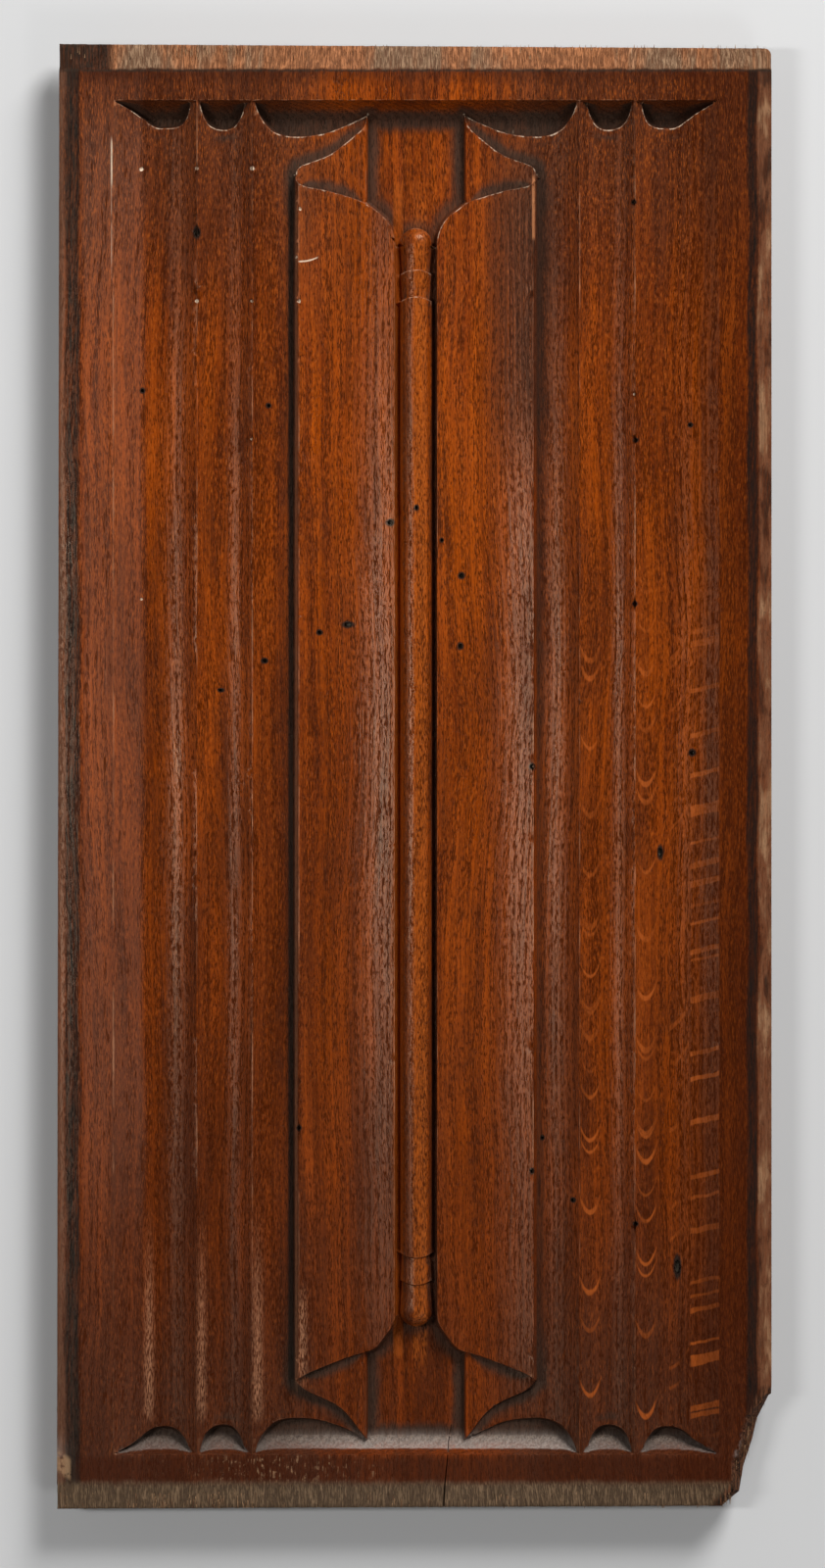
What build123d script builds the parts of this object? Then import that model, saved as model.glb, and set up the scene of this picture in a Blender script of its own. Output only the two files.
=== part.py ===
import os

from build123d import *

# An oak linenfold wainscot panel, lying on its back with the carved face up.
# Lengths are millimetres: X across the board, Y along the grain, Z up.

# Board
board_width = 240.8
board_length = 493.6
board_thickness = 16.0
left_edge_lean = 0.8
top_edge_fall = 1.5
bottom_edge_rise = 1.0
corner_radius = 2.6

# Edges that went into the grooves of the frame
tongue_thickness = 7.0
front_band_drop = 1.0
top_band = 8.6
bottom_band = 8.6
left_band = 7.2
right_band = 8.2
back_bevel_width = 30.0

# Broken lower right corner: distance in from the right edge, distance up from the bottom edge
break_up_the_side = 38.0
break_along_the_end = 15.8
break_points = [(4.6, 29.0), (6.2, 22.0), (9.2, 13.0), (10.6, 4.5)]

# Carved field, measured from its own centre
field_length = 455.3
field_offset_x = 0.6
field_offset_y = -0.3
ground_depth = 7.4
cove_width = 5.6

# Fold lines across the field, as distances from its centre line
margin_line = 101.8
low_arris = 92.5
outer_ridge = 73.7
inner_ridge = 55.1
top_fold_outer = 40.6
under_fold_edge = 16.7
top_fold_inner = 6.9

# Depths of the fold surfaces below the face
low_arris_depth = 2.7
edge_hollow_depth = 1.8
flute_depth = 4.3
bottom_layer_depth = 5.8
bottom_layer_hollow = 6.4
bottom_layer_edge_depth = 5.7
middle_layer_outer_depth = 2.4
middle_layer_hollow = 4.9
middle_layer_edge_depth = 4.1
top_layer_edge_depth = 0.3
top_layer_hollow = 3.7
top_fold_round = 1.1
top_fold_batter = 0.4

# Cut ends of the cloth, as distances from the border arris
edge_hollow_end = 5.2
edge_hollow_middle_end = 2.1
outer_flute_end = 8.7
inner_flute_end = 9.2
bottom_layer_end = 11.7
fold_tip_end = 4.4
flute_start_gap = 1.0
flute_stop_gap = 2.5
end_wall_slope = 0.8

# Noses of the folded cloth: the carver rounded them at the top end and left them pointed below
top_noses = {"middle": 24.4, "top": 25.9, "crossing": 34.0, "tail": 49.0}
bottom_noses = {"middle": 24.0, "top": 24.5, "crossing": 33.8, "tail": 46.0}

# Centre bead
bead_half_width = 5.5
bead_rise = 3.2
bead_groove_depth = 5.0
bead_end = 42.3
bead_cap_length = 14.4
bead_collar_length = 9.1
bead_step = 0.7
bead_step_bow = 1.4

# Points of the end lines between their two ends, as shares across the cloth and along the grain
outer_flute_line = {
    "top": [(0.14, 0.78), (0.31, 0.97), (0.55, 1.0), (0.83, 0.86), (0.94, 0.54)],
    "bottom": [(0.06, 0.71), (0.22, 0.91), (0.45, 1.0), (0.66, 0.94), (0.83, 0.68)],
}
inner_flute_line = [(0.07, 0.45), (0.22, 0.85), (0.48, 1.0), (0.73, 0.91), (0.89, 0.57)]
bottom_layer_line = [(0.08, 0.57), (0.20, 0.91), (0.38, 1.0), (0.57, 0.94), (0.76, 0.73)]
middle_layer_line = {
    "top": [(0.04, 0.17), (0.22, 0.38), (0.52, 0.65), (0.85, 0.81), (0.975, 0.90)],
    "bottom": [(0.10, 0.14), (0.30, 0.45), (0.53, 0.65), (0.80, 0.80)],
}
top_layer_line = {
    "top": [(0.04, 0.18), (0.12, 0.30), (0.38, 0.44), (0.63, 0.62)],
    "bottom": [(0.20, 0.27), (0.44, 0.51), (0.71, 0.77)],
}
top_layer_tail_line = {
    "top": [(0.24, 0.12), (0.70, 0.39), (0.90, 0.62)],
    "bottom": [(0.40, 0.19), (0.66, 0.46), (0.87, 0.70)],
}

half_field = field_length / 2
clear = 2.0


def along(start, end, share):
    """Value at a share of the way from start to end."""
    return start + (end - start) * share


def closed_face(edges):
    """Face inside a ring of joined edges."""
    return make_face(Curve() + edges)


def board_blank():
    """Sawn board with its taper, one rounded corner and one broken one."""
    right = board_width / 2
    top = board_length / 2
    bottom_right = -top + bottom_edge_rise
    top_left = (-right + left_edge_lean, top)
    top_right = (right, top - top_edge_fall)
    break_start = (right, bottom_right + break_up_the_side)
    break_end = (right - break_along_the_end, bottom_right)
    torn = [(right - inward, bottom_right + up) for inward, up in break_points]
    edges = [
        Line((-right, -top), top_left),
        Line(top_left, top_right),
        Line(top_right, break_start),
        Polyline(break_start, *torn, break_end),
        Line(break_end, (-right, -top)),
    ]
    outline = closed_face(edges)
    corner = outline.vertices().sort_by(Axis((0, 0, 0), (1, 1, 0)))[-1]
    return extrude(fillet(corner, corner_radius), board_thickness)


def edge_wedge(length, width, height, face_up):
    """Wedge along the X axis that thins the edge lying at Y = 0, body towards -Y."""
    level = board_thickness if face_up else 0
    side = 1 if face_up else -1
    slope = height / width
    section = Polyline(
        (clear, level + side * clear),
        (-width, level + side * clear),
        (-width, level),
        (clear, level - side * (height + clear * slope)),
        close=True,
    )
    return extrude(Plane.YZ * make_face(section), length / 2, both=True)


def edge_cuts():
    """Front bands and back bevels of the four edges."""
    back_rise = board_thickness - front_band_drop - tongue_thickness
    sides = [
        (0, board_length / 2, board_width, top_band),
        (180, board_length / 2, board_width, bottom_band),
        (90, board_width / 2, board_length, left_band),
        (-90, board_width / 2, board_length, right_band),
    ]
    cuts = []
    for turn, reach, length, band in sides:
        place = Rot(0, 0, turn) * Pos(0, reach, 0)
        long = length + 2 * clear
        cuts.append(place * edge_wedge(long, band, front_band_drop, True))
        cuts.append(place * edge_wedge(long, back_bevel_width, back_rise, False))
    return cuts


def field_section():
    """Cut area above the long folds, on one side of the centre line."""
    low = (low_arris, -low_arris_depth)
    ridge_one = (outer_ridge, 0)
    ridge_two = (inner_ridge, 0)
    fold_foot = (top_fold_outer + top_fold_batter, -bottom_layer_depth)
    fold_shoulder = (top_fold_outer, -top_layer_edge_depth - top_fold_round)
    fold_top = (top_fold_outer - top_fold_round, -top_layer_edge_depth)
    fold_inner = (top_fold_inner, -top_layer_edge_depth)
    shoulder_cut = top_fold_round * (1 - 0.5 ** 0.5)
    shoulder = (top_fold_outer - shoulder_cut, -top_layer_edge_depth - shoulder_cut)
    edge_hollow = (along(margin_line, low_arris, 0.5), -edge_hollow_depth)
    outer_flute = (along(low_arris, outer_ridge, 0.48), -flute_depth)
    inner_flute = (along(outer_ridge, inner_ridge, 0.5), -flute_depth)
    layer_slope = (along(inner_ridge, top_fold_outer, 0.5), -bottom_layer_depth * 0.78)
    top_hollow = (along(fold_top[0], top_fold_inner, 0.5), -top_layer_hollow)
    edges = [
        ThreePointArc((margin_line, 0), edge_hollow, low),
        ThreePointArc(low, outer_flute, ridge_one),
        ThreePointArc(ridge_one, inner_flute, ridge_two),
        ThreePointArc(ridge_two, layer_slope, fold_foot),
        Line(fold_foot, fold_shoulder),
        ThreePointArc(fold_shoulder, shoulder, fold_top),
        ThreePointArc(fold_top, top_hollow, fold_inner),
        Polyline(
            fold_inner,
            (top_fold_inner, -bead_groove_depth),
            (0, -bead_groove_depth),
            (0, clear),
            (margin_line, clear),
            (margin_line, 0),
        ),
    ]
    return closed_face(edges)


def layer_section(outer_depth, hollow_depth, edge_depth):
    """Cut area above a lower layer of cloth, from under the top fold to its own fold edge."""
    outer = top_fold_outer + top_fold_batter
    inner = under_fold_edge - clear
    edges = [
        ThreePointArc(
            (outer, -outer_depth),
            (along(outer, inner, 0.5), -hollow_depth),
            (inner, -edge_depth),
        ),
        Polyline((inner, -edge_depth), (inner, clear), (outer, clear), (outer, -outer_depth)),
    ]
    return closed_face(edges)


def end_line(start, stop, shares, height=None):
    """Spline from start to stop; the shares run across from start and up to the height."""
    base = 0 if height else start[1]
    top = height or stop[1]
    middle = [(along(start[0], stop[0], across), along(base, top, up)) for across, up in shares]
    return Spline(start, *middle, stop)


def middle_layer_end(end, noses):
    """End line of the middle layer, from its fold edge to its nose."""
    start = (under_fold_edge, fold_tip_end)
    return end_line(start, (top_fold_outer, noses["middle"]), middle_layer_line[end])


def top_layer_end(end, noses):
    """End line of the top layer, from its nose to above the lower fold edge."""
    start = (top_fold_outer, noses["top"])
    return end_line(start, (under_fold_edge, noses["crossing"]), top_layer_line[end])


def outer_flute_ground(end, inset):
    """Ground past the end of the outer flute and of the edge hollow."""
    corner = (low_arris, edge_hollow_end - inset)
    stop = (outer_ridge + flute_stop_gap + inset, 0)
    hollow_middle = (along(margin_line, low_arris, 0.5), edge_hollow_middle_end - inset / 2)
    edges = [
        ThreePointArc((margin_line - inset, 0), hollow_middle, corner),
        end_line(corner, stop, outer_flute_line[end], outer_flute_end - inset),
        Line(stop, (margin_line - inset, 0)),
    ]
    return closed_face(edges)


def inner_flute_ground(end, inset):
    """Ground past the end of the inner flute."""
    start = (outer_ridge - flute_start_gap - inset, 0)
    stop = (inner_ridge + flute_stop_gap + inset, 0)
    line = end_line(start, stop, inner_flute_line, inner_flute_end - inset)
    return closed_face([line, Line(stop, start)])


def middle_ground(end, noses, inset):
    """Ground between the two stacks of folded cloth, past all their ends."""
    start = (inner_ridge - flute_start_gap - inset, 0)
    tip = (under_fold_edge - inset, fold_tip_end - inset)
    crossing = (under_fold_edge - inset, noses["crossing"] - inset)
    tail = (top_fold_inner - inset, noses["tail"] - inset)
    half = [
        Line((0, 0), start),
        end_line(start, tip, bottom_layer_line, bottom_layer_end - inset),
        Line(tip, crossing),
        end_line(crossing, tail, top_layer_tail_line[end]),
        Line(tail, (0, noses["tail"] - inset)),
    ]
    other_half = [mirror(edge, about=Plane.YZ) for edge in half]
    return closed_face(half + other_half)


def cove_fill():
    """Wood left in the corner between the ground and the border."""
    cove_middle = (cove_width * 0.34, -ground_depth * 0.58)
    cove = closed_face([
        ThreePointArc((0, 0), cove_middle, (cove_width, -ground_depth)),
        Polyline((cove_width, -ground_depth), (-clear, -ground_depth), (-clear, 0), (0, 0)),
    ])
    return extrude(Plane.YZ * cove, margin_line + clear, both=True)


def ground_cut(region):
    """Cut to the sunken ground; its walls slope in below the flutes."""
    wall_top = -flute_depth
    upper = Pos(0, 0, wall_top) * extrude(region(0), clear - wall_top)
    faces = [Pos(0, 0, wall_top) * region(0), Pos(0, 0, -ground_depth) * region(end_wall_slope)]
    return upper + loft(faces, ruled=True)


def layer_cut(section, line, nose, tip):
    """Cut down to a layer of cloth past the end line of the layer above."""
    outer = top_fold_outer + top_fold_batter + clear
    ring = Polyline(
        (under_fold_edge, tip),
        (under_fold_edge - clear, tip),
        (under_fold_edge - clear, 0),
        (outer, 0),
        (outer, nose),
        (top_fold_outer, nose),
    )
    region = closed_face([line, ring])
    prism = Pos(0, 0, -ground_depth) * extrude(region, ground_depth + clear)
    return prism & extrude(Plane.XZ * section, half_field, both=True)


def end_cuts(end, noses):
    """Cuts at one end of the field, measured from the border arris towards the middle."""
    middle_layer = layer_section(
        middle_layer_outer_depth, middle_layer_hollow, middle_layer_edge_depth)
    bottom_layer = layer_section(
        bottom_layer_depth, bottom_layer_hollow, bottom_layer_edge_depth)
    one_side = [
        layer_cut(middle_layer, top_layer_end(end, noses), noses["top"], noses["crossing"]),
        layer_cut(bottom_layer, middle_layer_end(end, noses), noses["middle"], fold_tip_end),
        ground_cut(lambda inset: outer_flute_ground(end, inset)),
        ground_cut(lambda inset: inner_flute_ground(end, inset)),
    ]
    other_side = [mirror(cut, about=Plane.YZ) for cut in one_side]
    middle = ground_cut(lambda inset: middle_ground(end, noses, inset))
    return one_side + other_side + [middle]


def bead_section(shrink):
    """Section of the bead, made smaller all round by the given amount."""
    half = bead_half_width - shrink
    spring = -bead_rise - shrink / 2
    foot = -ground_depth - clear / 2
    edges = [
        ThreePointArc((-half, spring), (0, -shrink), (half, spring)),
        Polyline((half, spring), (half, foot), (-half, foot), (-half, spring)),
    ]
    return Plane.XZ * closed_face(edges)


def bead_plan(start, bow, end):
    """Prism in plan whose first end bows outwards."""
    side = bead_half_width
    edges = [
        ThreePointArc((-side, start + bow), (0, start), (side, start + bow)),
        Polyline((side, start + bow), (side, end), (-side, end), (-side, start + bow)),
    ]
    depth = ground_depth + clear
    return Pos(0, 0, -depth) * extrude(closed_face(edges), depth + clear)


def bead_sleeve(start, end):
    """Length of bead that is full size at its start and tapers to its end."""
    sections = [Pos(0, start, 0) * bead_section(0), Pos(0, end, 0) * bead_section(bead_step)]
    return loft(sections, ruled=True)


def bead_half():
    """Half the bead, from its domed end to the middle of the field."""
    radius = (bead_half_width ** 2 + bead_rise ** 2) / (2 * bead_rise)
    depth = ground_depth + clear / 2
    dome_centre = bead_end + bead_half_width
    collar_start = bead_end + bead_cap_length
    rod_start = collar_start + bead_collar_length
    dome = Pos(0, dome_centre, -radius) * Sphere(radius)
    dome &= Pos(0, dome_centre, -depth / 2) * Cylinder(bead_half_width, depth)
    dome &= Pos(0, bead_end, 0) * Box(4 * radius, 2 * bead_half_width, 4 * radius)
    cap = bead_sleeve(dome_centre, collar_start + bead_step_bow)
    collar = bead_sleeve(collar_start, rod_start + bead_step_bow)
    collar &= bead_plan(collar_start, bead_step_bow, half_field)
    rod = Pos(0, half_field, 0) * extrude(bead_section(0), half_field - rod_start)
    rod &= bead_plan(rod_start, bead_step_bow, half_field)
    return dome + cap + collar + rod


def at_end(shape, end):
    """Shape turned from border distances into the top or the bottom end of the field."""
    if end == "top":
        return Pos(0, half_field, 0) * mirror(shape, about=Plane.XZ)
    return Pos(0, -half_field, 0) * shape


def carving_cut():
    """All that the carver took out of the face."""
    section = field_section()
    flutes = extrude(Plane.XZ * section, half_field, both=True)
    cut = flutes + mirror(flutes, about=Plane.YZ)
    for end, noses in ("top", top_noses), ("bottom", bottom_noses):
        for piece in end_cuts(end, noses):
            cut += at_end(piece, end)
    for end in "top", "bottom":
        cut -= at_end(cove_fill(), end)
    return cut


def carved_panel():
    """The whole board with its carving."""
    panel = board_blank()
    for cut in edge_cuts():
        panel -= cut
    place = Pos(field_offset_x, field_offset_y, board_thickness)
    panel -= place * carving_cut()
    for end in "top", "bottom":
        panel += place * at_end(bead_half(), end)
    return panel


os.makedirs("parts", exist_ok=True)
oak_panel = carved_panel()
export_step(oak_panel, "parts/oak_panel.step")
print("solids", len(oak_panel.solids()), "volume", round(oak_panel.volume), oak_panel.bounding_box())
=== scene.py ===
import math

import bmesh
import bpy
import numpy as np
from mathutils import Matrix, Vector, noise
from mathutils.bvhtree import BVHTree
from mathutils.geometry import delaunay_2d_cdt
from mathutils.interpolate import poly_3d_calc
from mathutils.kdtree import KDTree


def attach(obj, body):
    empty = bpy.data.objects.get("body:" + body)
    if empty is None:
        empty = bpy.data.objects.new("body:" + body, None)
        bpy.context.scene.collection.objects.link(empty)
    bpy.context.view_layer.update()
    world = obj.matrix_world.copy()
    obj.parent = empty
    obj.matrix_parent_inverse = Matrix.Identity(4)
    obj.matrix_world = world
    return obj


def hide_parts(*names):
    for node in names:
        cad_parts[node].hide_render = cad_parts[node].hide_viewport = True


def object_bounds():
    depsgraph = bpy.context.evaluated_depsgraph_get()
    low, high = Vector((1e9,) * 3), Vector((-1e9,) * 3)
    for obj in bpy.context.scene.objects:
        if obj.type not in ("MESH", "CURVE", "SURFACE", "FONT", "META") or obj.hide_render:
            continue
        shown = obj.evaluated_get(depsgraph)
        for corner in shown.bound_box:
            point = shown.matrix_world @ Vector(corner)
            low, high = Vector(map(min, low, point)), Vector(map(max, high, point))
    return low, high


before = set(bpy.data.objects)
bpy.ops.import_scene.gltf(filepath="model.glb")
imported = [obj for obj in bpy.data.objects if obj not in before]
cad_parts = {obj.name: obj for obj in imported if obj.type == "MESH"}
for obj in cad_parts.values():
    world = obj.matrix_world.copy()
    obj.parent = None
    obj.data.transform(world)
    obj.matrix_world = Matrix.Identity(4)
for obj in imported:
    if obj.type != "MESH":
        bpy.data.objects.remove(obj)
cadBox = [list(corner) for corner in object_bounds()]

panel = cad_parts["oak_panel"]
bpy.context.scene.view_settings.view_transform = "Standard"

# Camera straight above the carved face, framed as the photograph is
frameWide = 842
frameHigh = 1600
metresPerPixel = 0.0003297
middleAcross = 422.75
middleDown = 792.25
lens = 120.0
sensorLong = 36.0
faceHeight = cadBox[1][2]
cameraHeight = faceHeight + frameHigh * metresPerPixel * lens / sensorLong
cam = bpy.data.cameras.new("cam")
cam.lens = lens
cam.sensor_width = sensorLong
cam.clip_start = 0.05
cam.clip_end = 20
camera = bpy.data.objects.new("cam", cam)
camera.location = ((frameWide / 2 - middleAcross) * metresPerPixel,
                   (middleDown - frameHigh / 2) * metresPerPixel, cameraHeight)
bpy.context.collection.objects.link(camera)
bpy.context.scene.camera = camera


def onPanel(across, down):
    return (across - middleAcross) * metresPerPixel, (middleDown - down) * metresPerPixel


# The board: the solid's own surface, cut finer so that wear can be carved into it. Lengths in mm.
boardSet = {
    "probeTop": 50.0,
    "probeFoot": -30.0,
    "steepFace": 0.35,
    "bendShare": 0.5,
    "outlineHeight": 8.3,
    "frontFoot": 8.4,
    "backTop": 8.1,
    "lowestFront": 8.6,
    "creaseAngle": 22.0,
    "hardAngle": 42.0,
    "arrisWidth": 0.32,
    "straightFrom": 20.0,
    "straightStep": 1.7,
    "curveStep": 0.62,
    "middleStep": 2.0,
    "endStep": 1.32,
    "endFrom": 168.0,
    "fadeOver": 22.0,
    "rimStep": 1.0,
    "rimLeast": 0.35,
    "rimClear": 0.6,
    "rimRound": 0.3,
    "backStep": 7.0,
    "sideRows": (14.0, 12.6, 11.2, 9.8, 8.6),
    "sideFoot": 8.0,
    "sideTop": 15.0,
    "edgeMiddle": 11.5,
}

shell = panel.data
shellCorners = [v.co.copy() for v in shell.vertices]
shellTree = BVHTree.FromPolygons(shellCorners, [list(p.vertices) for p in shell.polygons])
shellNormals = [n.vector.copy() for n in shell.corner_normals]


def heightAt(x, y, above=True):
    start = Vector((x, y, boardSet["probeTop" if above else "probeFoot"] / 1000))
    hit, normal, index, gap = shellTree.ray_cast(start, Vector((0, 0, -1 if above else 1)))
    if hit is None:
        return None
    if abs(normal.z) < boardSet["steepFace"]:
        return hit.z
    poly = shell.polygons[index]
    points = [shell.vertices[i].co for i in poly.vertices]
    shares = poly_3d_calc(points, hit)
    # half way to the tangent planes follows the true curve between the solid's flat facets
    bent = 0.0
    for loop, point, share in zip(poly.loop_indices, points, shares):
        facing = shellNormals[loop]
        bent -= share * (hit - point).dot(facing) * facing.z
    return hit.z + boardSet["bendShare"] * bent


solid = bmesh.new()
solid.from_mesh(shell)
bmesh.ops.remove_doubles(solid, verts=solid.verts, dist=2e-6)
solid.normal_update()


def findOutline():
    cut = solid.copy()
    height = boardSet["outlineHeight"] / 1000
    parts = bmesh.ops.bisect_plane(cut, geom=cut.verts[:] + cut.edges[:] + cut.faces[:],
                                   plane_co=(0, 0, height), plane_no=(0, 0, 1), dist=1e-7)["geom_cut"]
    links = {}
    for edge in parts:
        if isinstance(edge, bmesh.types.BMEdge):
            a, b = edge.verts
            links.setdefault(a, []).append(b)
            links.setdefault(b, []).append(a)
    start = min(links, key=lambda v: v.co.x + v.co.y)
    loop, before, now = [start], None, start
    while True:
        after = [v for v in links[now] if v is not before]
        before, now = now, after[0]
        if now is start:
            break
        loop.append(now)
    points = [Vector((v.co.x, v.co.y)) for v in loop]
    cut.free()
    area = sum(a.x * b.y - b.x * a.y for a, b in zip(points, points[1:] + points[:1]))
    return points if area > 0 else points[::-1]


def divide(points, step):
    divided = []
    for a, b in zip(points, points[1:] + points[:1]):
        parts = max(1, round((b - a).length / step))
        divided += [a.lerp(b, k / parts) for k in range(parts)]
    return divided


rim = []
for point in divide(findOutline(), boardSet["rimStep"] / 1000):
    if not rim or (point - rim[-1]).length > boardSet["rimLeast"] / 1000:
        rim.append(point)
rimOut = []
for k, point in enumerate(rim):
    along = rim[(k + 1) % len(rim)] - rim[k - 1]
    rimOut.append(Vector((along.y, -along.x)).normalized())
rimTree = KDTree(len(rim))
for k, point in enumerate(rim):
    rimTree.insert((point.x, point.y, 0), k)
rimTree.balance()


class PointBed:
    # plan points that keep a least distance from each other
    def __init__(self, cell):
        self.cell = cell
        self.points = []
        self.cells = {}

    def add(self, x, y, gap):
        i, j = math.floor(x / self.cell), math.floor(y / self.cell)
        for p in range(i - 1, i + 2):
            for q in range(j - 1, j + 2):
                for a, b in self.cells.get((p, q), ()):
                    if (a - x) ** 2 + (b - y) ** 2 < gap * gap:
                        return False
        self.cells.setdefault((i, j), []).append((x, y))
        self.points.append((x, y))
        return True


def stepAt(y):
    share = min(1, max(0, (abs(y) * 1000 - boardSet["endFrom"]) / boardSet["fadeOver"]))
    return (boardSet["middleStep"] + (boardSet["endStep"] - boardSet["middleStep"]) * share) / 1000


def creases(low, high):
    # the solid's sharp edges between two heights in mm, away from the outline
    found = []
    for edge in solid.edges:
        a, b = edge.verts
        if min(a.co.z, b.co.z) < low / 1000 or max(a.co.z, b.co.z) > high / 1000 or not edge.is_manifold:
            continue
        if edge.calc_face_angle(0) < math.radians(boardSet["creaseAngle"]):
            continue
        middle = (a.co + b.co) / 2
        if rimTree.find((middle.x, middle.y, 0))[2] < boardSet["rimClear"] / 1000:
            continue
        found.append((a.co.copy(), b.co.copy(), edge.is_convex))
    return found


# Damage of the front: across and down in pixels of the photograph, then widths, lengths or depths in mm
damageSet = {
    "wormHoles": (
        (398, 533, 1.7, 1.5), (355, 637, 2.5, 1.4), (326, 645, 1.4, 1.2), (270, 674, 1.5, 1.3),
        (425, 518, 1.1, 1.3), (225, 704, 1.5, 0.9), (471, 587, 1.5, 1.5), (470, 659, 1.3, 1.6),
        (649, 449, 1.2, 1.1), (648, 616, 1.2, 1.2), (705, 433, 1.1, 1.0), (707, 768, 1.5, 1.5),
        (543, 782, 1.3, 1.4), (305, 1151, 1.1, 1.2), (543, 1195, 1.0, 1.3), (585, 1225, 1.1, 1.1),
        (649, 1249, 1.2, 1.2), (554, 1162, 0.9, 1.1), (647, 206, 1.1, 1.0), (274, 413, 1.1, 1.1),
        (145, 398, 1.1, 1.2), (451, 551, 0.9, 1.0), (692, 1294, 1.5, 5.0), (674.5, 870, 1.2, 3.2),
        (201, 237, 1.6, 2.6),
    ),
    "wormDepth": 1.6,
    "wormRings": ((1.9, 0.0), (1.4, 0.0), (1.0, 0.0), (0.85, 0.7), (0.45, 1.0)),
    "wormSides": 12,
    "dent": (313, 462, 2.6, 0.45),
    "nicks": (
        (144, 171.5, 1.1), (200.7, 171.5, 1.0), (257, 171.5, 1.4), (200.7, 307, 1.0),
        (257, 307, 0.9), (305, 307, 1.1), (306, 213, 1.0), (200.7, 237, 1.5),
        (302, 262, 0.8), (256.5, 448, 0.7), (144, 611, 0.7), (647.5, 402, 0.8),
    ),
    "nickDepth": 0.55,
    "nickRings": ((1.0, 0.0), (0.55, 0.8), (0.2, 1.0)),
    "nickSides": 8,
    "crack": ((462.5, 1446), (460.5, 1458), (458, 1472), (456.5, 1490), (454, 1515), (452.5, 1541)),
    "crackWidth": 0.3,
    "crackDepth": 1.6,
    "crackStep": 0.6,
    "breakTop": (787, 1423),
    "breakEnd": (740, 1539),
    "breakSlack": 0.4,
    "breakWidth": 4.2,
    "breakDrop": 5.0,
    "breakReach": 9.0,
}

breakTop = onPanel(*damageSet["breakTop"])
breakEnd = onPanel(*damageSet["breakEnd"])
breakSlack = damageSet["breakSlack"] / 1000
# the sound right edge above the break is left out of the broken rim
brokenRim = [k for k, point in enumerate(rim)
             if point.x > breakEnd[0] - breakSlack and point.y < breakTop[1] + breakSlack
             and (point.x < breakTop[0] - 0.75 * breakSlack or point.y < breakTop[1] - 0.03)]
breakTree = KDTree(len(brokenRim))
for k in brokenRim:
    breakTree.insert((rim[k].x, rim[k].y, 0), k)
breakTree.balance()
crackLine = [Vector(onPanel(*spot)) for spot in damageSet["crack"]]


def smooth(low, high, value):
    share = min(1.0, max(0.0, (value - low) / (high - low)))
    return share * share * (3 - 2 * share)


def tornDrop(x, y):
    gap = breakTree.find((x, y, 0))[2] * 1000
    if gap >= damageSet["breakReach"]:
        return 0.0
    fibre = noise.noise((x * 900, y * 60, 3)) + 0.6 * noise.noise((x * 2200, y * 90, 5))
    fromTop = smooth(breakTop[1] + 0.002, breakTop[1] - 0.012, y)
    fromEnd = smooth(breakEnd[1] - 0.001, breakEnd[1] + 0.016, y)
    wide = damageSet["breakWidth"] * (0.22 + 0.78 * fromTop * fromEnd) * (1 + 0.25 * fibre)
    share = max(0.0, 1 - gap / wide)
    return damageSet["breakDrop"] * share ** 0.8 * (1 + 0.15 * fibre) / 1000


def dentDrop(x, y):
    # a soft-bottomed dent with a low raised ring
    dentX, dentY, wide, deep = damageSet["dent"]
    spot = onPanel(dentX, dentY)
    away = math.hypot(x - spot[0], y - spot[1]) * 1000
    if away >= 2 * wide:
        return 0.0
    ring = math.exp(-((away - 1.25 * wide) / 0.4) ** 2)
    return deep * (math.exp(-(away / wide) ** 4) - 0.25 * ring) / 1000


def sinkHoles(bed, sunk):
    for spotX, spotY, wide, long in damageSet["wormHoles"]:
        x, y = onPanel(spotX, spotY)
        for share, deep in damageSet["wormRings"]:
            for k in range(damageSet["wormSides"]):
                turn = 2 * math.pi * k / damageSet["wormSides"]
                across, along = share * wide * math.cos(turn) / 2000, share * long * math.sin(turn) / 2000
                if bed.add(x + across, y + along, 0.00004):
                    sunk[len(bed.points) - 1] = deep * damageSet["wormDepth"] / 1000


def sinkNicks(bed, sunk):
    sides = damageSet["nickSides"]
    for spotX, spotY, wide in damageSet["nicks"]:
        x, y = onPanel(spotX, spotY)
        for share, deep in damageSet["nickRings"]:
            for k in range(sides):
                turn = 2 * math.pi * (k + 0.3 * math.sin(spotX + 9 * k)) / sides
                reach = share * wide * (1 + 0.3 * math.sin(spotY + 5 * k)) / 1000
                if bed.add(x + reach * math.cos(turn), y + 0.8 * reach * math.sin(turn), 0.00008):
                    sunk[len(bed.points) - 1] = deep * damageSet["nickDepth"] / 1000


def sinkCrack(bed, sunk):
    # the crack opens toward the lower end
    for a, b in zip(crackLine, crackLine[1:]):
        parts = round((b - a).length / (damageSet["crackStep"] / 1000))
        side = Vector((-(b - a).y, (b - a).x)).normalized() * damageSet["crackWidth"] / 2000
        for k in range(parts):
            spot = a.lerp(b, k / parts)
            spread = 0.5 + smooth(crackLine[0].y, crackLine[-1].y, spot.y)
            for way, deep in ((-1, 0), (0, 1), (1, 0)):
                if bed.add(spot.x + way * side.x * spread, spot.y + way * side.y * spread, 0.00008) and deep:
                    sunk[len(bed.points) - 1] = damageSet["crackDepth"] / 1000


def followCreases(bed, lines):
    # a point row on either side of every crease; the long straight ones are kept as edges
    kept = []
    for a, b, convex in lines:
        flat = Vector((b.x - a.x, b.y - a.y))
        if flat.length < 2e-5:
            continue
        straight = flat.length > boardSet["straightFrom"] / 1000
        step = boardSet["straightStep" if straight else "curveStep"] / 1000
        parts = max(1, round(flat.length / step))
        side = Vector((-flat.y, flat.x)).normalized() * boardSet["arrisWidth"] / 2000
        for way in (side, -side):
            last = None
            for k in range(parts + 1):
                x, y = a.x + flat.x * k / parts, a.y + flat.y * k / parts
                laid = bed.add(x + way.x, y + way.y, 0.00024)
                if laid and straight:
                    if last is not None:
                        kept.append((last, len(bed.points) - 1))
                    last = len(bed.points) - 1
    return kept


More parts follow.
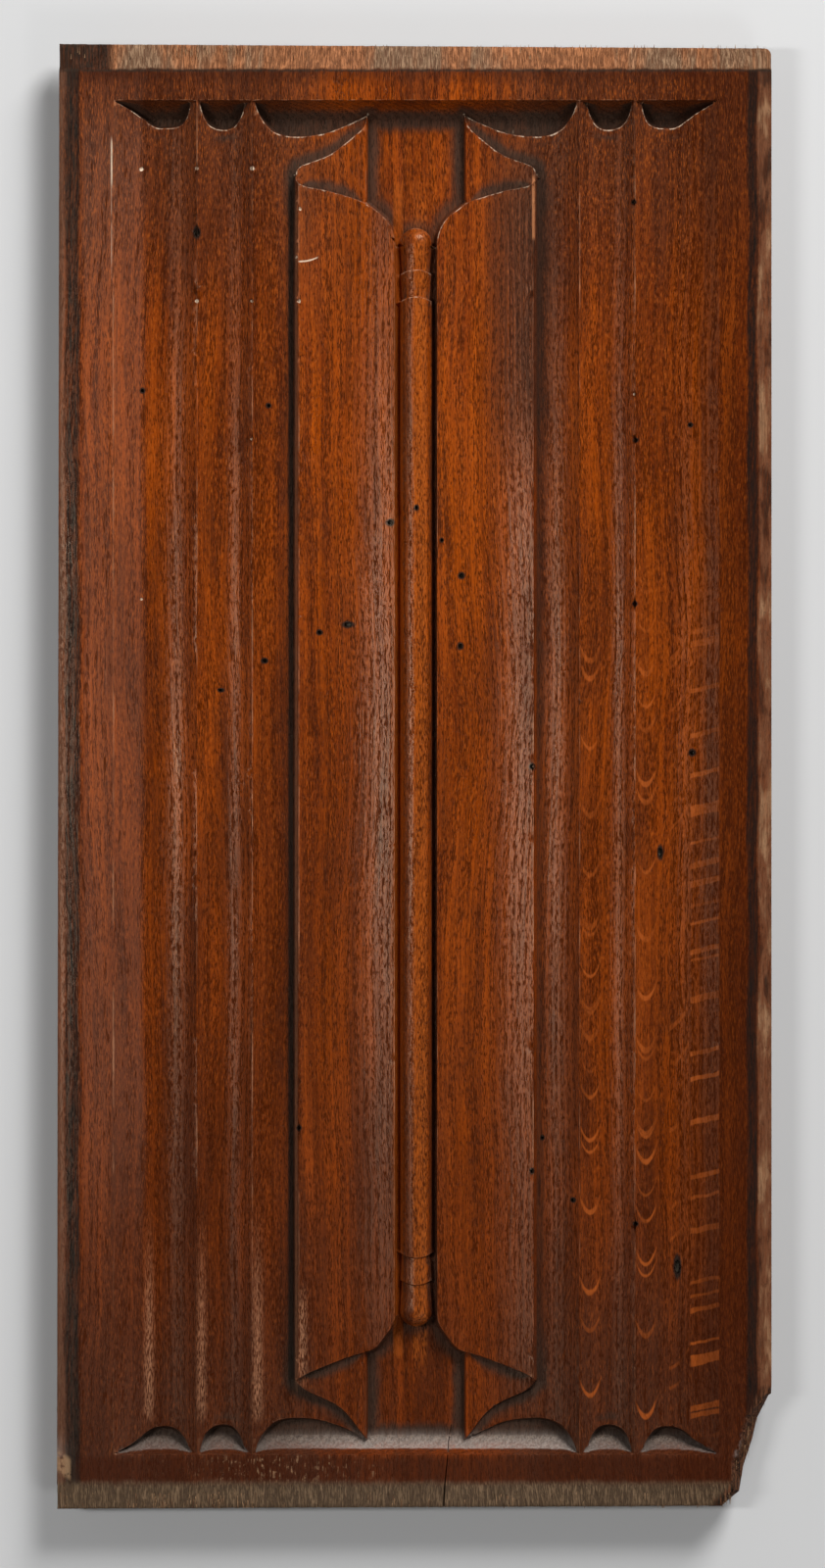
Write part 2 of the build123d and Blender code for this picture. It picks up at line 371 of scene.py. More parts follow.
def fillRows(bed, above):
    # staggered rows over the rest, closer together near the carved ends
    near = KDTree(len(bed.points))
    for k, (x, y) in enumerate(bed.points):
        near.insert((x, y, 0), k)
    near.balance()
    y = cadBox[0][1]
    row = 0
    while y < cadBox[1][1]:
        step = stepAt(y) if above else boardSet["backStep"] / 1000
        x = cadBox[0][0] + (step / 2 if row % 2 else 0)
        while x < cadBox[1][0]:
            spot, index, gap = rimTree.find((x, y, 0))
            inside = (Vector((x, y)) - rim[index]).dot(rimOut[index]) < 0
            room = near.find((x, y, 0))[2] > min(0.55 * step, 0.0009)
            if inside and gap > boardSet["rimClear"] / 1000 and room:
                bed.points.append((x, y))
            x += step
        y += step * 0.866
        row += 1


def skin(above):
    bed = PointBed(0.00025)
    sunk = {}
    for point in rim:
        bed.add(point.x, point.y, 0)
    inset = boardSet["rimRound"] / 1000
    for point, out in zip(rim, rimOut):
        bed.add(point.x - out.x * inset, point.y - out.y * inset, 0.0002)
    if above:
        sinkHoles(bed, sunk)
        sinkNicks(bed, sunk)
        sinkCrack(bed, sunk)
    topOfAll = boardSet["probeTop"]
    lines = creases(boardSet["frontFoot"], topOfAll) if above else creases(-topOfAll, boardSet["backTop"])
    kept = followCreases(bed, lines)
    fillRows(bed, above)
    ring = list(range(len(rim)))
    edges = [(k, (k + 1) % len(rim)) for k in ring] + kept
    cut = delaunay_2d_cdt([Vector(p) for p in bed.points], edges, [ring], 1, 1e-7)
    points, faces = cut[0], cut[2]
    depths = [0.0] * len(points)
    for k, deep in sunk.items():
        depths[k] = deep
    return points, faces, depths


print("cutting the board's faces finer")
front, frontFaces, frontSunk = skin(True)
back, backFaces, backSunk = skin(False)
print("front", len(front), len(frontFaces), "back", len(back), len(backFaces))

board = bmesh.new()
inward = boardSet["rimRound"] / 1000


def skinVerts(points, sunk, above):
    verts = []
    for k, point in enumerate(points):
        if k < len(rim):
            # just inside the outline, rounded over to it
            out = rimOut[k]
            z = heightAt(point.x - out.x * 1e-4, point.y - out.y * 1e-4, above)
            z = (z or boardSet["edgeMiddle"] / 1000) - (inward if above else -inward * 0.5)
        else:
            z = heightAt(point.x, point.y, above)
            if z is None:
                z = boardSet["sideTop" if above else "sideFoot"] / 1000
        if above:
            worn = z - tornDrop(point.x, point.y) - dentDrop(point.x, point.y)
            z = max(boardSet["lowestFront"] / 1000, worn) - sunk[k]
        verts.append(board.verts.new((point.x, point.y, z)))
    return verts


frontVerts = skinVerts(front, frontSunk, True)
backVerts = skinVerts(back, backSunk, False)
for face in frontFaces:
    board.faces.new([frontVerts[k] for k in face])
for face in backFaces:
    board.faces.new([backVerts[k] for k in reversed(face)])
above = frontVerts[:len(rim)]
topLevels = [v.co.z for v in above]
foot = boardSet["sideFoot"] / 1000
for level in boardSet["sideRows"]:
    share = (level - boardSet["sideFoot"]) / (boardSet["sideTop"] - boardSet["sideFoot"])
    below = [board.verts.new((v.co.x, v.co.y, foot + share * (top - foot))) for v, top in zip(above, topLevels)]
    for k in range(len(rim)):
        n = (k + 1) % len(rim)
        board.faces.new([above[k], below[k], below[n], above[n]])
    above = below
below = backVerts[:len(rim)]
for k in range(len(rim)):
    n = (k + 1) % len(rim)
    board.faces.new([above[k], below[k], below[n], above[n]])
board.normal_update()
bmesh.ops.triangulate(board, faces=[f for f in board.faces if len(f.verts) > 3])
openEdges = sum(not e.is_manifold for e in board.edges)
print("board faces", len(board.faces), "open edges", openEdges, "volume", board.calc_volume(signed=True))

for face in board.faces:
    face.smooth = True
for edge in board.edges:
    if edge.is_manifold and edge.calc_face_angle(0) > math.radians(boardSet["hardAngle"]):
        edge.smooth = False
boardMesh = bpy.data.meshes.new("carved_board")
board.to_mesh(boardMesh)
carvedBoard = bpy.data.objects.new("carved_board", boardMesh)
bpy.context.collection.objects.link(carvedBoard)

# What the wear and the finish follow: how far arrises, grooves and marks are, and how hollow a place is
print("measuring arrises and hollows")
measureSet = {
    "pointStep": 0.4,
    "lipFrom": 150.0,
    "lipSlope": 0.15,
    "gridStep": 1.0,
    "plainLevel": 15.5,
    "levelFrom": 8.5,
    "nearReach": 2,
    "wideReach": 6,
    "farthest": 20.0,
}


def isLip(a, b, point):
    # the curved arrises near the upper end, whose lips are painted pale: chipped wood and painted highlight
    curved = (b - a).length < boardSet["straightFrom"] / 1000
    across = abs(b.x - a.x) > measureSet["lipSlope"] * abs(b.y - a.y)
    return curved and across and point.y > measureSet["lipFrom"] / 1000


arrisPoints, groovePoints, lipPoints = [], [], []
for a, b, convex in creases(boardSet["frontFoot"], boardSet["probeTop"]):
    parts = max(1, round((b - a).length / (measureSet["pointStep"] / 1000)))
    for k in range(parts + 1):
        point = a.lerp(b, k / parts)
        (arrisPoints if convex else groovePoints).append(point)
        if convex and isLip(a, b, point):
            lipPoints.append(point)


def treeOf(points):
    tree = KDTree(len(points))
    for k, point in enumerate(points):
        tree.insert(point, k)
    tree.balance()
    return tree


arrisTree, grooveTree, lipTree = treeOf(arrisPoints), treeOf(groovePoints), treeOf(lipPoints)

gridStep = measureSet["gridStep"] / 1000
gridWide = round((cadBox[1][0] - cadBox[0][0]) / gridStep) + 1
gridHigh = round((cadBox[1][1] - cadBox[0][1]) / gridStep) + 1
levels = np.full((gridHigh, gridWide), measureSet["plainLevel"] / 1000)
for j in range(gridHigh):
    for i in range(gridWide):
        start = Vector((cadBox[0][0] + i * gridStep, cadBox[0][1] + j * gridStep, boardSet["probeTop"] / 1000))
        hit = shellTree.ray_cast(start, Vector((0, 0, -1)))[0]
        if hit and hit.z > measureSet["levelFrom"] / 1000:
            levels[j, i] = hit.z


def softened(grid, reach):
    taps = np.exp(-0.5 * (np.arange(-3 * reach, 3 * reach + 1) / reach) ** 2)
    taps /= taps.sum()
    padded = np.pad(grid, 3 * reach, mode="edge")
    padded = np.apply_along_axis(lambda line: np.convolve(line, taps, "same"), 0, padded)
    padded = np.apply_along_axis(lambda line: np.convolve(line, taps, "same"), 1, padded)
    return padded[3 * reach:-3 * reach, 3 * reach:-3 * reach]


def sampled(grid, x, y):
    i = min(gridWide - 1.001, max(0, (x - cadBox[0][0]) / gridStep))
    j = min(gridHigh - 1.001, max(0, (y - cadBox[0][1]) / gridStep))
    a, b = int(i), int(j)
    u, v = i - a, j - b
    lower = grid[b, a] * (1 - u) + grid[b, a + 1] * u
    upper = grid[b + 1, a] * (1 - u) + grid[b + 1, a + 1] * u
    return lower * (1 - v) + upper * v


def reachOf(tree, place):
    return min(measureSet["farthest"], tree.find(place)[2] * 1000)


nearLevels = softened(levels, measureSet["nearReach"])
wideLevels = softened(levels, measureSet["wideReach"])
nickSpots = [onPanel(spotX, spotY) + (wide,) for spotX, spotY, wide in damageSet["nicks"]]
holeSpots = [onPanel(spotX, spotY) + (wide, long) for spotX, spotY, wide, long in damageSet["wormHoles"]]
measures = {name: [] for name in ("arris", "groove", "lip", "broken", "hollow", "bowl", "nick", "hole")}
for vert in boardMesh.vertices:
    x, y, z = vert.co
    onFace = z > boardSet["outlineHeight"] / 1000
    nicked = max(1 - math.hypot(x - a, y - b) * 1000 / wide for a, b, wide in nickSpots)
    holed = min(math.hypot((x - a) / wide, (y - b) / long) * 2000 for a, b, wide, long in holeSpots)
    measures["arris"].append(reachOf(arrisTree, vert.co))
    measures["groove"].append(reachOf(grooveTree, vert.co))
    measures["lip"].append(reachOf(lipTree, vert.co))
    measures["broken"].append(reachOf(breakTree, (x, y, 0)))
    measures["nick"].append(nicked if onFace else 0)
    measures["hole"].append(holed if onFace else 9)
    measures["hollow"].append((sampled(nearLevels, x, y) - z) * 1000 if onFace else 0)
    measures["bowl"].append((sampled(wideLevels, x, y) - z) * 1000 if onFace else 0)
for name, values in measures.items():
    boardMesh.attributes.new(name, "FLOAT", "POINT").data.foreach_set("value", values)


def addNode(tree, kind, inputs=None, **settings):
    node = tree.nodes.new(kind)
    for key, value in settings.items():
        setattr(node, key, value)
    for name, value in (inputs or {}).items():
        if isinstance(value, bpy.types.NodeSocket):
            tree.links.new(value, node.inputs[name])
        else:
            node.inputs[name].default_value = value
    return node


class NodeHand:
    # short calls for sums in a node tree, alike for the surface's shape and for its colour
    def __init__(self, tree, place):
        self.tree = tree
        self.place = place
        self.x, self.y, self.z = addNode(tree, "ShaderNodeSeparateXYZ", {"Vector": place}).outputs

    def link(self, node, values):
        for socket, value in zip(node.inputs, values):
            if isinstance(value, bpy.types.NodeSocket):
                self.tree.links.new(value, socket)
            else:
                socket.default_value = value
        return node

    def vector(self, kind, *values):
        return self.link(addNode(self.tree, "ShaderNodeVectorMath", operation=kind), values).outputs[0]

    def sum(self, kind, *values):
        return self.link(addNode(self.tree, "ShaderNodeMath", operation=kind), values).outputs[0]

    def chain(self, kind, values):
        total = values[0]
        for value in values[1:]:
            total = self.sum(kind, total, value)
        return total

    def plus(self, *values):
        return self.chain("ADD", values)

    def times(self, *values):
        return self.chain("MULTIPLY", values)

    def most(self, *values):
        return self.chain("MAXIMUM", values)

    def size(self, value):
        return self.sum("ABSOLUTE", value)

    def fade(self, value, fromLow, fromHigh, toLow=0.0, toHigh=1.0):
        limits = {"From Min": fromLow, "From Max": fromHigh, "To Min": toLow, "To Max": toHigh}
        return addNode(self.tree, "ShaderNodeMapRange", {"Value": value, **limits},
                       interpolation_type="SMOOTHSTEP").outputs[0]

    def within(self, value, span, soft):
        low, high = span
        return self.times(self.fade(value, low - soft, low + soft), self.fade(value, high + soft, high - soft))

    def point(self, x, y, z):
        return addNode(self.tree, "ShaderNodeCombineXYZ", {"X": x, "Y": y, "Z": z}).outputs[0]

    def clouds(self, place, scale, detail=2.0, rough=0.5, shift=0.0):
        moved = self.vector("MULTIPLY_ADD", place, scale, (shift, shift * 0.7, shift * 1.3))
        return addNode(self.tree, "ShaderNodeTexNoise", {"Vector": moved, "Scale": 1.0, "Detail": detail,
                                                         "Roughness": rough}).outputs["Fac"]

    def swing(self, scale, detail, reach):
        # clouds about zero, as far as reach from end to end
        return self.times(self.plus(self.clouds(self.place, scale, detail), -0.5), reach)

    def reading(self, name):
        return addNode(self.tree, "GeometryNodeInputNamedAttribute", {"Name": name},
                       data_type="FLOAT").outputs["Attribute"]


# Weathering: depths in mm that hand-cut waves, fibres and wear draw in, and splinters to a square metre
weatherSet = {
    "Wave Depth": 0.09,
    "Tool Depth": 0.05,
    "Fibre Depth": 0.35,
    "Arris Wear": 0.22,
    "Chip Depth": 0.5,
    "Splinter Length": 2.4,
    "Splinter Width": 0.3,
    "Strip Splinters": 520000.0,
    "Break Splinters": 240000.0,
}

# Splinters, in metres: the strips and stretches where they stand, their sizes and the box they stay in
splinterSet = {
    "stripFrom": (0.2378, 0.2388),
    "raggedLeft": (-0.1, -0.09),
    "raggedRight": (-0.045, -0.06),
    "edgeFrom": (0.119, 0.117),
    "lean": 0.07,
    "tilt": 1.5,
    "long": (0.0004, 0.0014),
    "wide": (0.0005, 0.0013),
    "lowest": (-0.12, -0.2464, 0.0),
    "highest": (0.12, 0.2464, 0.0154),
}


def wornInset(hand, given, rough, front):
    place = hand.place
    worn = hand.fade(hand.reading("arris"), 0.9, 0.05)
    wornHere = hand.fade(hand.clouds(place, (240, 26, 240), 3.0), 0.3, 0.75)
    chips = hand.fade(hand.clouds(place, (420, 300, 420), 1.0), 0.66, 0.78)
    inset = hand.plus(hand.times(given["Wave Depth"], hand.clouds(place, (70, 9, 70))),
                      hand.times(given["Tool Depth"], hand.clouds(place, (260, 45, 260))),
                      hand.times(given["Fibre Depth"], hand.clouds(place, (1500, 110, 700), 3.0), rough),
                      hand.times(given["Arris Wear"], worn, wornHere),
                      hand.times(given["Chip Depth"], worn, chips))
    return hand.times(inset, front, -0.001)


def slowNoises(hand):
    # what changes slowly over the board is worked out once here and kept for the finish; lengths in mm
    x, y, z = hand.x, hand.y, hand.z
    slant = hand.plus(y, hand.times(z, -3.1), hand.times(x, -0.62))
    return {
        "wander": hand.plus(hand.swing((12, 6, 12), 2.0, 16.0), hand.swing((50, 35, 50), 1.0, 1.8)),
        "height": hand.fade(hand.plus(y, hand.swing((20, 6, 20), 2.0, 0.12)), -0.23, 0.16),
        "blotch": hand.clouds(hand.place, (35, 12, 35)),
        "ringShift": hand.times(hand.clouds(hand.place, (120, 4, 120)), 9.0),
        "raySlope": hand.plus(hand.times(slant, 1000.0), hand.swing((50, 12, 50), 1.0, 10.0)),
        "patches": hand.clouds(hand.place, (90, 40, 91), 1.0),
        "wobble": hand.swing((200, 30, 200), 3.0, 3.0),
        "wobbleAlong": hand.swing((300, 290, 300), 2.0, 2.0),
        "gloss": hand.clouds(hand.place, (120, 20, 121), 3.0),
        "glaze": hand.clouds(hand.place, (85, 14, 85), 3.0),
    }


def stored(hand, geometry, name, value):
    inputs = {"Geometry": geometry, "Name": name, "Value": value}
    node = addNode(hand.tree, "GeometryNodeStoreNamedAttribute", inputs, data_type="FLOAT", domain="POINT")
    return node.outputs[0]


def drawn(hand, low, high, seed):
    return addNode(hand.tree, "FunctionNodeRandomValue", {"Min": low, "Max": high, "Seed": seed},
                   data_type="FLOAT").outputs["Value"]


def splintersOn(hand, given, geometry, endStrip, torn, front):
    # splinters stand along the ragged ends and in the break, pointing outward along the grain
    tree, x, y = hand.tree, hand.x, hand.y
    stretch = hand.times(hand.fade(x, *splinterSet["raggedLeft"]), hand.fade(x, *splinterSet["raggedRight"]))
    awayFromEdge = hand.fade(hand.size(x), *splinterSet["edgeFrom"])
    ragged = hand.times(endStrip, hand.plus(stretch, 0.25), awayFromEdge)
    thickness = hand.plus(hand.times(given["Strip Splinters"], ragged),
                          hand.times(given["Break Splinters"], torn))
    clumps = hand.fade(hand.clouds(hand.place, (180, 60, 180)), 0.45, 0.62)
    thickness = hand.times(thickness, front, clumps)
    spots = addNode(tree, "GeometryNodeDistributePointsOnFaces", {"Mesh": geometry, "Density": thickness,
                                                                  "Seed": 6})
    sliver = addNode(tree, "GeometryNodeMeshCone", {"Vertices": 4, "Radius Top": 0.08, "Radius Bottom": 0.5,
                                                    "Depth": 1.0})
    lean = drawn(hand, -splinterSet["lean"], splinterSet["lean"], 3)
    turn = hand.point(hand.times(hand.sum("SIGN", y), -splinterSet["tilt"]), 0.0, lean)
    long = hand.times(drawn(hand, *splinterSet["long"], 8), given["Splinter Length"])
    wide = hand.times(drawn(hand, *splinterSet["wide"], 9), given["Splinter Width"])
    stance = {"Rotation": turn, "Scale": hand.point(wide, wide, long)}
    placed = addNode(tree, "GeometryNodeInstanceOnPoints",
                     {"Points": spots.outputs[0], "Instance": sliver.outputs[0], **stance})
    slivers = addNode(tree, "GeometryNodeRealizeInstances", {"Geometry": placed.outputs[0]}).outputs[0]
    held = hand.vector("MINIMUM", hand.place, splinterSet["highest"])
    held = hand.vector("MAXIMUM", held, splinterSet["lowest"])
    slivers = addNode(tree, "GeometryNodeSetPosition", {"Geometry": slivers, "Position": held}).outputs[0]
    return stored(hand, slivers, "splinter", 1.0)


def weatherTree(material):
    tree = bpy.data.node_groups.new("weathered_surface", "GeometryNodeTree")
    tree.interface.new_socket("Geometry", in_out="INPUT", socket_type="NodeSocketGeometry")
    for name in weatherSet:
        tree.interface.new_socket(name, in_out="INPUT", socket_type="NodeSocketFloat")
    tree.interface.new_socket("Geometry", in_out="OUTPUT", socket_type="NodeSocketGeometry")
    given = tree.nodes.new("NodeGroupInput").outputs
    made = tree.nodes.new("NodeGroupOutput")
    hand = NodeHand(tree, tree.nodes.new("GeometryNodeInputPosition").outputs[0])

    endStrip = hand.fade(hand.size(hand.y), *splinterSet["stripFrom"])
    front = hand.fade(hand.z, 0.0082, 0.0088)
    torn = hand.fade(hand.reading("broken"), 5.0, 1.0)
    inset = wornInset(hand, given, hand.most(endStrip, torn), front)
    move = addNode(tree, "ShaderNodeVectorMath", {"Scale": inset}, operation="SCALE")
    tree.links.new(tree.nodes.new("GeometryNodeInputNormal").outputs[0], move.inputs[0])
    geometry = addNode(tree, "GeometryNodeSetPosition", {"Geometry": given["Geometry"],
                                                         "Offset": move.outputs[0]}).outputs[0]
    for name, value in slowNoises(hand).items():
        geometry = stored(hand, geometry, name, value)
    joined = addNode(tree, "GeometryNodeJoinGeometry")
    tree.links.new(splintersOn(hand, given, geometry, endStrip, torn, front), joined.inputs[0])
    tree.links.new(geometry, joined.inputs[0])
    realized = addNode(tree, "GeometryNodeRealizeInstances", {"Geometry": joined.outputs[0]})
    coated = addNode(tree, "GeometryNodeSetMaterial", {"Geometry": realized.outputs[0], "Material": material})
    tree.links.new(coated.outputs[0], made.inputs[0])
    return tree


def grown(piece, tree, values):
    # run a node tree on a piece and keep the result as a plain mesh
    modifier = piece.modifiers.new(tree.name, "NODES")
    modifier.node_group = tree
    for item in tree.interface.items_tree:
        if item.item_type == "SOCKET" and item.in_out == "INPUT" and item.name in values:
            modifier[item.identifier] = values[item.name]
    depsgraph = bpy.context.evaluated_depsgraph_get()
    result = bpy.data.meshes.new_from_object(piece.evaluated_get(depsgraph), preserve_all_data_layers=True,
                                             depsgraph=depsgraph)
    piece.modifiers.remove(modifier)
    piece.data = result


def addLamp(name, place, target, size, power, color):
    light = bpy.data.lights.new(name, "AREA")
    light.shape = "RECTANGLE"
    light.size, light.size_y = size
    light.energy = power
    light.color = color
    lamp = bpy.data.objects.new(name, light)
    lamp.location = place
    lamp.rotation_euler = (Vector(target) - Vector(place)).to_track_quat("-Z", "Y").to_euler()
    bpy.context.collection.objects.link(lamp)


# A broad soft key from the top and a little right, a long strip on the left for the sheen in the flutes,
# and a low one on the lower right. Nothing bright stands over the board, so its flats stay deep in colour.
addLamp("key", (0.88, 1.72, 1.33), (0, 0, 0), (0.9, 1.0), 63, (1, 1, 1))
addLamp("strip", (-1.0, 0.03, 1.5), (0, 0, 0), (0.12, 0.5), 8.5, (1, 1, 1))
addLamp("low", (0.9, -1.0, 1.3), (0, 0, 0), (0.4, 0.4), 3.5, (1, 1, 1))

# The room is half bright round the sides and dark overhead
world = bpy.data.worlds.new("world")
bpy.context.scene.world = world
world.use_nodes = True
sky = world.node_tree
skyPlace = addNode(sky, "ShaderNodeTexCoord").outputs["Generated"]
upwards = addNode(sky, "ShaderNodeSeparateXYZ", {"Vector": skyPlace}).outputs["Z"]
roomLight = addNode(sky, "ShaderNodeMapRange", {"Value": upwards, "From Min": 0.35, "From Max": 0.92,
                                                "To Min": 0.3, "To Max": 0.01},
                    interpolation_type="SMOOTHSTEP").outputs[0]
sky.nodes["Background"].inputs[0].default_value = (1, 1, 1, 1)
sky.links.new(roomLight, sky.nodes["Background"].inputs[1])

floorMesh = bpy.data.meshes.new("floor")
floorMesh.from_pydata([(-4, -4, 0), (4, -4, 0), (4, 4, 0), (-4, 4, 0)], [], [(0, 1, 2, 3)])
floor = bpy.data.objects.new("floor", floorMesh)
bpy.context.collection.objects.link(floor)
grey = bpy.data.materials.new("grey")
grey.use_nodes = True
grey.node_tree.nodes["Principled BSDF"].inputs["Base Color"].default_value = (0.64, 0.64, 0.64, 1)
floor.data.materials.append(grey)


def shade(red, green, blue):
    # a colour as it reads in a picture, 0 to 255, turned to light
    parts = [v / 255 for v in (red, green, blue)]
    return tuple(v / 12.92 if v <= 0.04 else ((v + 0.055) / 1.055) ** 2.4 for v in parts) + (1.0,)


# The aged oak: its colours, then where its bands, marks and rays lie, in mm from the board's middle
oakSet = {
    "highLight": shade(166, 72, 3),
    "highDark": shade(122, 47, 3),
    "lowLight": shade(121, 50, 9),
    "lowDark": shade(85, 34, 8),
    "marginSheen": shade(150, 110, 92),
    "holeFill": shade(132, 122, 106),
    "glaze": shade(62, 26, 12),
    "fleckAndLight": shade(180, 90, 26),
    "poreAndShade": shade(60, 19, 0),
    "ray": shade(172, 84, 30),
    "grime": shade(50, 38, 31),
    "bareArrisAndHighlight": shade(186, 132, 98),
    "freshChipAndHighlight": shade(226, 200, 172),
    "edgeStainAndShade": shade(30, 25, 22),
    "edgeBrown": shade(106, 72, 54),
    "rightBand": shade(112, 72, 50),
    "topStrip": shade(196, 128, 84),
    "topGrey": shade(168, 134, 104),
    "topDeep": shade(84, 46, 28),
    "bottomStrip": shade(136, 110, 84),
    "coveSheen": shade(196, 182, 172),
    "splinter": shade(190, 150, 112),
    "sawnBack": shade(128, 98, 70),
    "sawnDark": shade(84, 62, 44),
    "endDarkAlong": (180, 262),
    "endDarkAcross": (18, 45),
    "foldsFrom": (39.5, 43.0),
    "beadShade": (-4.2, -1.4),
    "beadLitSide": (-0.4, 4.4),
    "litBeadFlank": (-7.0, -3.8),
    "beadLength": (-196, 196),
    "litFlankLength": (-196, 200),
    "bowSplit": (68.5, 69.5),
    "bowCentres": (59.4, 78.2),
    "bowShift": 41.7,
    "bowSpan": (53.0, 86.0),
    "barFrom": (92.6, 93.0),
    "barSpan": (93.1, 102.6),
    "raySpacings": ((12.0, 0.0), (23.0, 5.3)),
    "rayTop": (75, 35),
    "rayFoot": (-223, -218),
    "quirkAcross": (-42.5, -40.7),
    "quirkAlong": (-205, 203),
    "footAcross": (-40.2, -39.3),
    "footAlong": (-205, 196),
    "marginSheenSpan": (-111.5, -91.5),
    "lipTop": (226.5, 225),
    "longScratch": ((-102.1, -101.6), (199, 214)),
    "thinScratch": ((-102.0, -101.75), (158, 200)),
    "sheenLines": ((-90.6, -88.2), (-72.8, -70.6), (-54.2, -51.4)),
    "sheenFoot": ((-39.0, -36.6), (-203, -175)),
    "chipAcross": (-115.0, -116.4),
    "chipSlant": (-306, -299),
    "stainAcross": (26, 47),
    "stainAlong": (110, 206),
    "litWallAcross": (39.7, 40.7),
    "litWallAlong": (181, 202),
    "curvedScratch": (-38.8, -32.6),
    "curvedFoot": 173.3,
    "upperBand": (231.0, 237.0),
    "lowerBand": (-227.5, -230.5),
    "sideBand": (92.0, 100.0),
    "leftStain": (-117.6, -112.6),
    "rightStain": (112.2, 115.6),
    "leftEdge": (-116.9, -118.4),
    "rightEdge": (115.2, 116.6),
    "scribedSpan": (237.1, 238.0),
    "topFrom": (237.6, 238.6),
    "topCorner": (-100.0, -103.5),
    "bottomFrom": (-236.2, -239.6),
    "paleSpan": (-237.5, -228.6),
    "palePlace": -45,
    "coveSheenTop": (-219.5, -227.0),
    "coveSheenFoot": (-229.6, -228.8),
    "coveSheenPlace": 14,
    "sawnFrom": (8.4, 7.9),
    "poreRelief": -0.14,
    "lineRelief": 0.1,
    "rawRelief": 0.25,
    "speckleRelief": 0.06,
    "roughness": 0.19,
    "specularTint": (1.0, 0.8, 0.58, 1.0),
}


class Painter(NodeHand):
    # the same calls for a material, in mm, with a colour that layers are laid on
    def __init__(self, name):
        self.material = bpy.data.materials.new(name)
        self.material.use_nodes = True
        self.tree = self.material.node_tree
        self.shader = self.tree.nodes["Principled BSDF"]
        place = addNode(self.tree, "ShaderNodeTexCoord").outputs["Object"]
        super().__init__(self.tree, self.vector("MULTIPLY", place, (1000, 1000, 1000)))

    def reading(self, name):
        return addNode(self.tree, "ShaderNodeAttribute", attribute_name=name).outputs["Fac"]

    def mix(self, share, first, second):
        node = addNode(self.tree, "ShaderNodeMix", data_type="RGBA")
        for socket, value in zip((node.inputs[0], node.inputs[6], node.inputs[7]), (share, first, second)):
            if isinstance(value, bpy.types.NodeSocket):
                self.tree.links.new(value, socket)
            else:
                socket.default_value = value
        return node.outputs[2]

    def lay(self, share, tone):
        self.color = self.mix(share, self.color, oakSet[tone] if isinstance(tone, str) else tone)


def bareWood(oak):
    # the grain wanders a little as it runs up the board, and the wood is brighter toward the top
    oak.wander = oak.reading("wander")
    oak.grain = oak.point(oak.plus(oak.x, oak.wander), oak.y, oak.z)
    oak.height = oak.reading("height")
    oak.streak = oak.clouds(oak.grain, (0.3, 0.005, 0.3), 4.0, 0.6)
    oak.blotch = oak.reading("blotch")
    oak.tone = oak.fade(oak.plus(oak.times(oak.streak, 0.62), oak.times(oak.blotch, 0.38)), 0.36, 0.62)
    low = oak.mix(oak.tone, oakSet["lowDark"], oakSet["lowLight"])
    high = oak.mix(oak.tone, oakSet["highDark"], oakSet["highLight"])
    oak.color = oak.mix(oak.height, low, high)
    oak.line = oak.clouds(oak.grain, (1.5, 0.014, 1.5), 3.0, 0.6, shift=5)
    oak.lay(oak.fade(oak.line, 0.38, 0.6, 0.5, 0.0), "poreAndShade")


def darkening(oak):
    # darker toward the ends, the outer folds darker, and painted shade on the bead's left side
    endDarkAlong = oak.fade(oak.plus(oak.size(oak.y), oak.times(oak.blotch, 80)), *oakSet["endDarkAlong"])
    endDark = oak.times(endDarkAlong, oak.fade(oak.size(oak.x), *oakSet["endDarkAcross"]))
    oak.lay(oak.times(endDark, 0.6), "grime")
    folds = oak.fade(oak.size(oak.x), *oakSet["foldsFrom"])
    oak.lay(oak.times(folds, oak.fade(oak.blotch, 0.35, 0.65, 0.34, 0.14)), "poreAndShade")
    # painted shade darkens the bead's left side, away from the key lamp
    oak.lay(oak.times(oak.within(oak.x, oakSet["beadShade"], 0.6), 0.45), "poreAndShade")


def poresAndFlecks(oak):
    # growth rings gather the pores in rows
    rows = oak.plus(oak.times(oak.plus(oak.x, oak.wander), 0.9), oak.times(oak.z, 1.6), oak.reading("ringShift"))
    ring = oak.sum("SINE", oak.times(rows, 1.9))
    oak.dash = oak.clouds(oak.grain, (3.7, 0.5, 3.7), 2.0, 0.55, shift=9)
    pores = oak.fade(oak.plus(oak.dash, oak.times(ring, 0.04)), 0.55, 0.63)
    longDash = oak.clouds(oak.grain, (2.1, 0.16, 2.1), 3.0, 0.55, shift=17)
    oak.longPores = oak.fade(oak.plus(longDash, oak.times(ring, 0.04)), 0.59, 0.66)
    oak.pores = oak.times(oak.most(pores, oak.longPores), 0.78)
    flecks = oak.times(oak.fade(oak.dash, 0.45, 0.34, 0.0, 0.5), oak.plus(oak.times(oak.height, 0.65), 0.35))
    oak.lay(flecks, "fleckAndLight")
    oak.lay(oak.pores, "poreAndShade")
    oak.speckle = oak.clouds(oak.place, (0.35, 0.12, 0.35), 3.0, shift=13)
    mottle = oak.plus(oak.times(oak.reading("glaze"), 0.75), oak.times(oak.speckle, 0.25))
    oak.lay(oak.fade(mottle, 0.47, 0.66, 0.0, 0.4), "glaze")
    # painted light brightens the bead's right side, which faces the key lamp
    litBeadSide = oak.times(oak.within(oak.x, oakSet["beadLitSide"], 0.5), oak.within(oak.y, oakSet["beadLength"], 8))
    oak.lay(oak.times(litBeadSide, oak.fade(oak.dash, 0.64, 0.36, 0.0, 0.62)), "fleckAndLight")


def whiteOf(oak, cell, shift):
    return addNode(oak.tree, "ShaderNodeTexWhiteNoise", {"W": oak.plus(cell, shift)},
                   noise_dimensions="1D").outputs["Value"]


